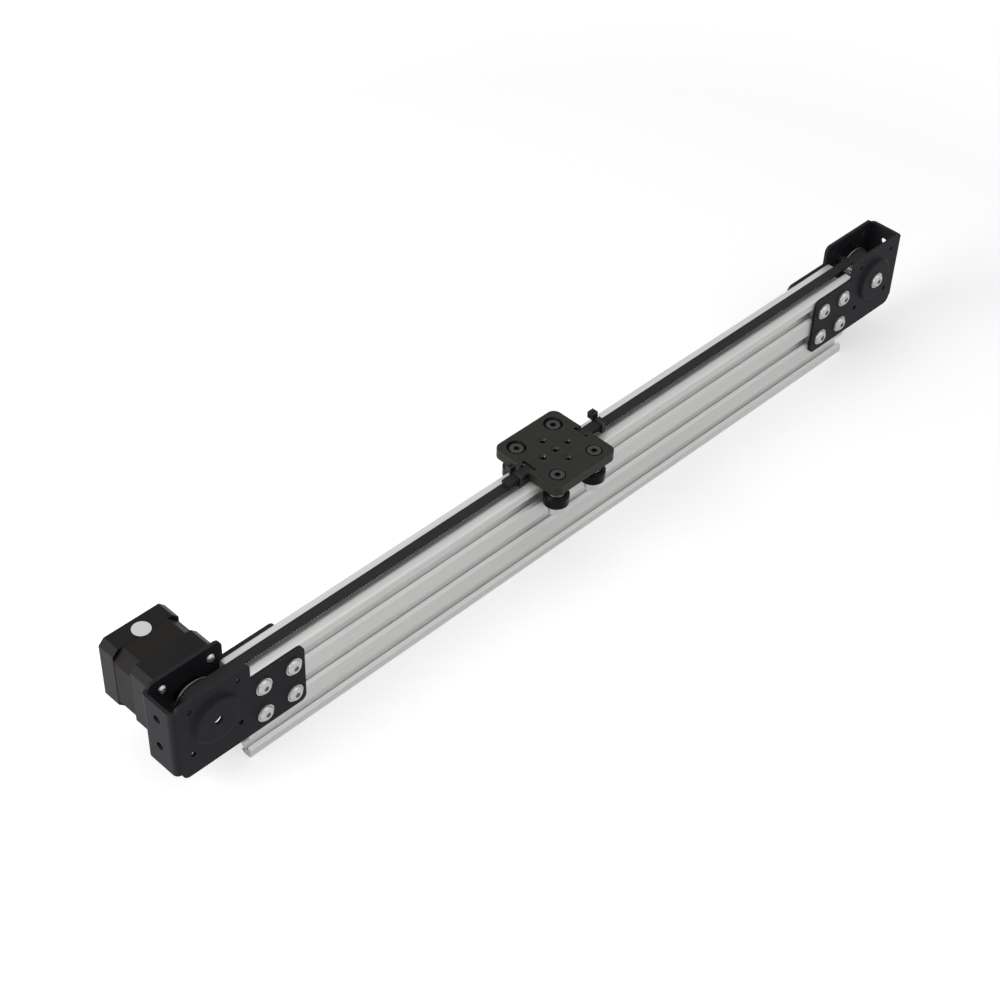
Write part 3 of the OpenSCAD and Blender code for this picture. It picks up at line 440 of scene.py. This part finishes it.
# by the record's material slots; pairs are the lowest and highest roughness
finishes = {
    "anodised_rail": anodisedRail(),
    "black_sheet": blackCoat("bracketPowderCoat", 0.021, (0.42, 0.52), tint=(0.001, 0.0, 0.004),
                             edge=0.5, shine=0.05),
    "bright_steel": plainSteel("screwSteel", 0.50, (0.26, 0.36)),
    "nut_steel": plainSteel("nutSteel", 0.40, (0.36, 0.48)),
    "motor_cap": blackCoat("motorCapBlack", 0.008, (0.36, 0.44), scale=2600.0, shine=0.10),
    "stator_steel": laminatedStator(),
    "copper_winding": copperWire(),
    "shaft_steel": plainSteel("groundSteel", 0.58, (0.22, 0.32)),
    "black_screw": blackCoat("screwBlackOxide", 0.02, (0.28, 0.38), edge=0.5, metallic=0.3,
                             scale=3000.0, shine=0.2),
    "connector_plastic": mouldedPlastic("connectorNylon", (0.66, 0.64, 0.57, 1.0), (0.4, 0.5)),
    # the pulleys' dark level is painted shade of the pulleys deep inside the brackets
    "pulley_aluminium": plainSteel("pulleyAluminium", 0.26, (0.36, 0.46)),
    "belt_rubber": beltRubber(),
    "plate_anodised": brushedBlackPlate(),
    "tie_plastic": mouldedPlastic("tieNylon", gray(0.010), (0.3, 0.4), shine=0.25),
    "wheel_plastic": mouldedPlastic("wheelAcetal", gray(0.005), (0.24, 0.32), shine=0.07),
    "low_head_steel": plainSteel("lowHeadSteel", 0.055, (0.3, 0.42)),
}
print("finishes made:", len(finishes))

slotOf = {part["node"]: part["material_slot"] for part in frame["record"]["subparts"]}
for name, piece in nodes.items():
    piece.data.materials.clear()
    piece.data.materials.append(finishes[slotOf[name]])


# small pieces

wheelNames = ["front_left", "front_right", "rear_left", "rear_right"]
facing = {
    "up": Matrix.Identity(3),
    "down": Matrix.Rotation(math.radians(180), 3, "X"),
    "rear": Matrix.Rotation(math.radians(-90), 3, "X"),
    "front": Matrix.Rotation(math.radians(90), 3, "X"),
}
mounts = {mount["name"]: mount for mount in frame["record"]["mounts"]}


def newPiece(name, shape, slot, body, material=None):
    bmesh.ops.recalc_face_normals(shape, faces=shape.faces)
    mesh = bpy.data.meshes.new(name)
    shape.to_mesh(mesh)
    shape.free()
    piece = bpy.data.objects.new(name, mesh)
    bpy.context.scene.collection.objects.link(piece)
    mesh.materials.append(material or finishes[slot])
    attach(piece, body)
    return piece


def middle(node):
    low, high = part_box(node)
    return (low + high) / 2


def around(radius, angle, height):
    return Vector((radius * math.cos(angle), radius * math.sin(angle), height))


def skin(shape, rings, closed=False):
    # faces between neighbouring rings; a closed skin joins the last ring to the first
    pairs = list(zip(rings, rings[1:]))
    if closed:
        pairs.append((rings[-1], rings[0]))
    count = len(rings[0])
    for ring, following in pairs:
        for index in range(count):
            after = (index + 1) % count
            shape.faces.new((ring[index], following[index], following[after], ring[after]))


def closeEnds(shape, rings):
    shape.faces.new(rings[0])
    shape.faces.new(list(reversed(rings[-1])))


def addPrism(shape, outline, start, run):
    # a closed outline carried along a straight run
    rings = [[shape.verts.new(corner + point) for point in outline]
             for corner in (start, start + run)]
    skin(shape, rings)
    closeEnds(shape, rings)


def addLathe(shape, profile, center, turn, steps=64):
    # a closed profile of (radius, height) pairs turned once round an axis
    rings = []
    for step in range(steps):
        angle = 2 * math.pi * step / steps
        rings.append([shape.verts.new(center + turn @ around(radius, angle, height))
                      for radius, height in profile])
    skin(shape, rings, closed=True)


# ridges of the threads: on bare screw ends and inside the carriage's tapped holes
threadSizes = {"radius": 0.0025, "pitch": 0.0008, "rise": 0.00012, "sink": 0.00003,
               "width": 0.55, "shortest": 0.5, "tapRise": 0.00016, "tapLead": 0.0002,
               "steps": 24}


def addRidge(shape, center, turn, section, start, pitch, count):
    # a three-cornered ridge that winds up a screw line, or down it where the pitch is negative
    steps = threadSizes["steps"]
    rings = []
    for step in range(count + 1):
        angle = 2 * math.pi * step / steps
        height = start + pitch * step / steps
        rings.append([shape.verts.new(center + turn @ around(reach, angle, height + shift))
                      for reach, shift in section])
    skin(shape, rings)
    closeEnds(shape, rings)


def addThread(shape, center, turn, length):
    sizes = threadSizes
    half = sizes["pitch"] * sizes["width"] / 2
    root = sizes["radius"] - sizes["sink"]
    section = ((root, -half), (sizes["radius"] + sizes["rise"], 0.0), (root, half))
    turns = max(length / sizes["pitch"] - sizes["width"], sizes["shortest"])
    addRidge(shape, center, turn, section, half, sizes["pitch"], int(turns * sizes["steps"]))


def addTapThread(shape, mouth, radius, length):
    sizes = threadSizes
    quarter = sizes["pitch"] / 4
    root = radius + sizes["sink"]
    section = ((root, -quarter), (radius - sizes["tapRise"], 0.0), (root, quarter))
    turns = (length - sizes["tapLead"] - sizes["pitch"]) / sizes["pitch"]
    addRidge(shape, mouth, facing["up"], section, -sizes["tapLead"] - quarter, -sizes["pitch"],
             int(turns * sizes["steps"]))


def makeBoltThreads():
    shape = bmesh.new()
    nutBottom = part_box("wheel_lock_nuts")[0].z
    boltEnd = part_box("wheel_bolts")[0].z
    for name in wheelNames:
        spot = middle(name + "_wheel")
        addThread(shape, Vector((spot.x, spot.y, boltEnd)), facing["up"], nutBottom - boltEnd)
    newPiece("wheelBoltThreads", shape, "low_head_steel", "carriage")


def makeTapThreads():
    along, across = mounts["carriage_holes_along"], mounts["carriage_holes_across"]
    hole = mounts["carriage_centre_hole"]["dims"]
    mouth = Vector(along["pos_m"])
    radius, depth = hole["r_mm"] / 1000, hole["length_mm"] / 1000
    halfX = along["dims"]["spacing_x_mm"] / 2000
    halfY = across["dims"]["spacing_y_mm"] / 2000
    shape = bmesh.new()
    for x, y in ((0, 0), (halfX, 0), (-halfX, 0), (0, halfY), (0, -halfY)):
        addTapThread(shape, mouth + Vector((x, y, 0)), radius, depth)
    newPiece("carriageTapThreads", shape, "low_head_steel", "carriage")


def makeAxleThread():
    shape = bmesh.new()
    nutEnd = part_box("idler_axle_nut")[1].y
    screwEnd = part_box("idler_axle_screw")[1].y
    spot = middle("idler_pulley")
    addThread(shape, Vector((spot.x, nutEnd, spot.z)), facing["rear"], screwEnd - nutEnd)
    newPiece("axleScrewThread", shape, "bright_steel", "base")


# round headed screws that hold the motor
roundScrew = {"radius": 0.0025, "rim": 0.0005, "height": 0.0019, "flats": 0.0021,
              "depth": 0.0012, "shank": 0.0015, "seat": 0.0024, "center": 0.00005,
              "steps": 48, "rounds": 7}


def hexReach(angle, flats):
    # how far a hexagon with this width across its flats reaches at an angle
    turn = (angle + math.pi / 6) % (math.pi / 3) - math.pi / 6
    return flats / 2 / math.cos(turn)


def screwProfile(hexagon, length):
    # (radius, distance behind the seat) from the tip of the shank to the floor of the socket
    sizes = roundScrew
    dome = sizes["height"] - sizes["rim"]
    profile = [(sizes["center"], length), (sizes["shank"], length), (sizes["shank"], 0.0),
               (sizes["radius"], 0.0)]
    for part in range(sizes["rounds"] + 1):
        share = part / sizes["rounds"]
        reach = sizes["radius"] + (hexagon - sizes["radius"]) * share
        profile.append((reach, -sizes["rim"] - dome * math.sin(share * math.pi / 2)))
    socket = sizes["depth"] - sizes["height"]
    return profile + [(hexagon, socket), (sizes["center"], socket)]


def addRoundScrew(shape, seat, end):
    # the head stands towards -Y from its seat, and the shank runs to +Y
    rings = []
    for step in range(roundScrew["steps"]):
        angle = 2 * math.pi * step / roundScrew["steps"]
        profile = screwProfile(hexReach(angle, roundScrew["flats"]), end - seat.y)
        rings.append([shape.verts.new(seat + Vector((
            reach * math.cos(angle), behind, reach * math.sin(angle))))
            for reach, behind in profile])
    skin(shape, rings, closed=True)


def makeMotorScrews():
    low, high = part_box("motor_mounting_screws")
    shaft = middle("motor_shaft")
    half = mounts["motor_bracket_front_holes"]["dims"]["spacing_x_mm"] / 2000
    seatY = low.y + roundScrew["seat"]
    shape = bmesh.new()
    for x in (-half, half):
        for z in (-half, half):
            addRoundScrew(shape, Vector((shaft.x + x, seatY, shaft.z + z)), high.y)
    piece = newPiece("motorScrewsRound", shape, "bright_steel", "base")
    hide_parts("motor_mounting_screws")


shieldSizes = {"inner": 0.0041, "outer": 0.0049, "rise": 0.00035, "lip": 0.00025,
               "dish": 0.4}


def addShield(shape, center, turn):
    # a dished ring with two raised lips on the face of a ball bearing
    inner, outer = shieldSizes["inner"], shieldSizes["outer"]
    rise, lip = shieldSizes["rise"], shieldSizes["lip"]
    dish = rise * shieldSizes["dish"]
    profile = [(inner, 0.0), (outer, 0.0), (outer, rise), (outer - lip, dish),
               (inner + lip, dish), (inner, rise)]
    addLathe(shape, profile, center, turn)


def makeShields():
    for name in wheelNames:
        low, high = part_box(name + "_bearings")
        spot = (low + high) / 2
        shape = bmesh.new()
        addShield(shape, Vector((spot.x, spot.y, high.z)), facing["up"])
        addShield(shape, Vector((spot.x, spot.y, low.z)), facing["down"])
        newPiece(name + "BearingShields", shape, "bright_steel", name + "_roller")
    low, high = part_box("idler_bearings")
    spot = (low + high) / 2
    shape = bmesh.new()
    addShield(shape, Vector((spot.x, high.y, spot.z)), facing["rear"])
    addShield(shape, Vector((spot.x, low.y, spot.z)), facing["front"])
    newPiece("idlerBearingShields", shape, "bright_steel", "idler")


tieSizes = {"headLength": 0.0044, "headWidth": 0.0042, "headHeight": 0.0047, "step": 0.0005,
            "band": 0.0025, "margin": 0.0004, "pitch": 0.00062, "ribHalf": 0.3,
            "rise": 0.00011}


def makeTieRibs():
    # fine cross ribs on the upper face of each band
    low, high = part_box("cable_ties")
    shape = bmesh.new()
    top = high.z - tieSizes["headHeight"] + tieSizes["step"]
    reach = tieSizes["headLength"] / 2
    half = tieSizes["band"] / 2 - tieSizes["margin"]
    pitch = tieSizes["pitch"]
    ribHalf = pitch * tieSizes["ribHalf"]
    outline = [Vector((0, -ribHalf, 0)), Vector((0, ribHalf, 0)),
               Vector((0, 0, tieSizes["rise"]))]
    for x in (low.x + reach, high.x - reach):
        y = low.y + pitch
        while y < high.y - tieSizes["headWidth"] - pitch:
            addPrism(shape, outline, Vector((x - half, y, top)), Vector((2 * half, 0, 0)))
            y += pitch
    newPiece("cableTieRibs", shape, "tie_plastic", "carriage")


plugSizes = {"pins": 6, "pitch": 0.002, "thick": 0.0005, "wall": 0.001, "tip": 0.0006}


def makePlugPins():
    low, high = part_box("motor_connector")
    spot = (low + high) / 2
    shape = bmesh.new()
    half = plugSizes["thick"] / 2
    outline = [Vector((-half, -half, 0)), Vector((half, -half, 0)),
               Vector((half, half, 0)), Vector((-half, half, 0))]
    bottom = low.z + plugSizes["tip"]
    run = Vector((0, 0, high.z - plugSizes["wall"] - bottom))
    first = spot.x - (plugSizes["pins"] - 1) * plugSizes["pitch"] / 2
    for index in range(plugSizes["pins"]):
        x = first + index * plugSizes["pitch"]
        addPrism(shape, outline, Vector((x, spot.y, bottom)), run)
    newPiece("plugPins", shape, "bright_steel", "base")


# round label on the motor
labelSizes = {"radius": 0.00525, "thickness": 0.00012, "back": 0.0083, "center": 0.0001,
              "paper": gray(0.72), "rough": (0.5, 0.6), "shine": 0.3}


def makeLabel():
    low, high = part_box("motor_rear_cap")
    sizes = labelSizes
    thick = sizes["thickness"]
    profile = [(sizes["center"], 0.0), (sizes["radius"], 0.0), (sizes["radius"], thick),
               (sizes["center"], thick)]
    shape = bmesh.new()
    spot = Vector(((low.x + high.x) / 2, high.y - sizes["back"], high.z))
    addLathe(shape, profile, spot, facing["up"])
    paper = mouldedPlastic("labelPaper", sizes["paper"], sizes["rough"], shine=sizes["shine"])
    newPiece("motorLabel", shape, "connector_plastic", "base", paper)


makeBoltThreads()
makeTapThreads()
makeMotorScrews()
makeAxleThread()
makeShields()
makeTieRibs()
makePlugPins()
makeLabel()
print("small pieces made")


# stage

white = (1.0, 1.0, 1.0, 1.0)
stageLook = {"floor": (0.80, 0.80, 0.80, 1.0), "half": 6.0,
             "glow": 0.48, "near": 0.5, "far": 1.6,  # the floor's own light grows to white
             "room": 0.30}


def seenDirectly(build):
    path = build.add("ShaderNodeLightPath").outputs
    mirrored = build.math("MAXIMUM", path["Is Glossy Ray"], path["Is Transmission Ray"])
    return build.math("MAXIMUM", path["Is Camera Ray"], mirrored)


def makeFloor():
    half, z = stageLook["half"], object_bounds()[0].z
    mesh = bpy.data.meshes.new("floor")
    mesh.from_pydata([(-half, -half, z), (half, -half, z), (half, half, z), (-half, half, z)],
                     [], [(0, 1, 2, 3)])
    floor = bpy.data.objects.new("floor", mesh)
    bpy.context.scene.collection.objects.link(floor)
    material = bpy.data.materials.new("floorPaper")
    material.use_nodes = True
    tree = material.node_tree
    tree.nodes.clear()
    build = NodeTree(tree)
    diffuse = build.add("ShaderNodeBsdfDiffuse", {"Color": stageLook["floor"]})
    away = build.add("ShaderNodeVectorMath", {0: build.place()},
                     operation="LENGTH").outputs["Value"]
    level = build.remap(away, stageLook["near"], stageLook["far"], stageLook["glow"], 1.0)
    glow = build.add("ShaderNodeEmission", {
        "Color": white, "Strength": build.math("MULTIPLY", seenDirectly(build), level)})
    both = build.add("ShaderNodeAddShader", {0: diffuse.outputs[0], 1: glow.outputs[0]})
    build.add("ShaderNodeOutputMaterial", {0: both.outputs[0]})
    mesh.materials.append(material)


def makeWorld():
    # even light from the room; the camera and mirrors see white
    world = bpy.data.worlds.new("studio")
    bpy.context.scene.world = world
    world.use_nodes = True
    tree = world.node_tree
    tree.nodes.clear()
    build = NodeTree(tree)
    room = build.add("ShaderNodeBackground", {"Color": white, "Strength": stageLook["room"]})
    paper = build.add("ShaderNodeBackground", {"Color": white, "Strength": 1.0})
    mixed = build.add("ShaderNodeMixShader", {
        0: seenDirectly(build), 1: room.outputs[0], 2: paper.outputs[0]})
    build.add("ShaderNodeOutputWorld", {0: mixed.outputs[0]})


lamps = {
    "overhead": {"place": (0.1, 0.0, 1.5), "aim": (0.0, 0.0, 0.03), "size": (1.6, 1.2),
                 "power": 2.5},
    "left": {"place": (-1.6, 0.45, 0.8), "aim": (-0.05, 0.0, 0.03), "size": (1.1, 1.1),
             "power": 24.0},
    "front": {"place": (0.3, -0.95, 1.25), "aim": (0.05, 0.0, 0.03), "size": (1.4, 0.9),
              "power": 3.0},
}


def makeLamps():
    for name, sizes in lamps.items():
        data = bpy.data.lights.new(name, "AREA")
        data.shape = "RECTANGLE"
        data.size, data.size_y = sizes["size"]
        data.energy = sizes["power"]
        lamp = bpy.data.objects.new(name, data)
        bpy.context.scene.collection.objects.link(lamp)
        lamp.location = sizes["place"]
        toward = Vector(sizes["aim"]) - Vector(sizes["place"])
        lamp.rotation_euler = toward.to_track_quat("-Z", "Y").to_euler()


cameraSizes = {"place": (-0.674985, -0.582159, 0.831904), "turn": (47.52727, -1.64307, -45.20775),
               "lens": 74.2114, "sensor": 36.0, "near": 0.01, "far": 50.0}


def makeCamera():
    data = bpy.data.cameras.new("camera")
    data.lens = cameraSizes["lens"]
    data.sensor_width = cameraSizes["sensor"]
    data.clip_start = cameraSizes["near"]
    data.clip_end = cameraSizes["far"]
    camera = bpy.data.objects.new("camera", data)
    bpy.context.scene.collection.objects.link(camera)
    camera.location = cameraSizes["place"]
    camera.rotation_euler = [math.radians(angle) for angle in cameraSizes["turn"]]
    bpy.context.scene.camera = camera


makeFloor()
makeWorld()
makeLamps()
makeCamera()
bpy.context.scene.view_settings.view_transform = "Standard"
print("stage, lamps and camera set")
